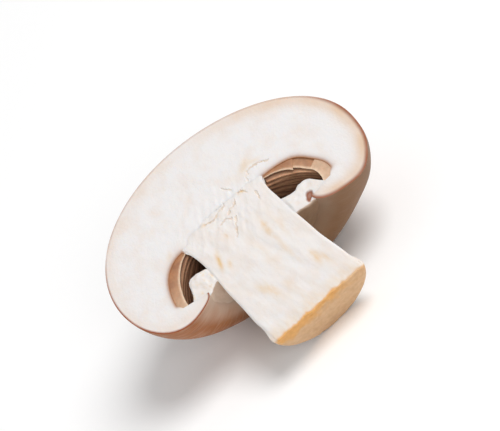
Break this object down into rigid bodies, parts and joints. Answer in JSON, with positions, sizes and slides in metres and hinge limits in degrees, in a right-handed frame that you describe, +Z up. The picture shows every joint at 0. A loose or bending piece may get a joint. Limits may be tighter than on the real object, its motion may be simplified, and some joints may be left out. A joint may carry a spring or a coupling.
{
  "type": "halved button mushroom",
  "caption": "Half of a brown-skinned closed-cap button mushroom, cut lengthwise, lying on its back with stem, gills and veil showing.",
  "frame": {"origin": "bottom centre of the bounding box of the half as it lies on its back", "axes": "+X across the cap along the cut, +Y from the stem's butt towards the top of the cap, +Z up"},
  "size_m": [0.05, 0.0368, 0.0293],
  "materials": {
    "cap_flesh": "matt white mushroom flesh with a thin brown skin on the outside",
    "stem_flesh": "matt fibrous white mushroom flesh, tan at the butt",
    "gill": "matt brown gill blades",
    "veil": "matt pale veil"
  },
  "bodies": {
    "root": {"cap": "cap_flesh", "stem": "stem_flesh", "gills": "gill", "veil": "veil"}
  },
  "joints": []
}
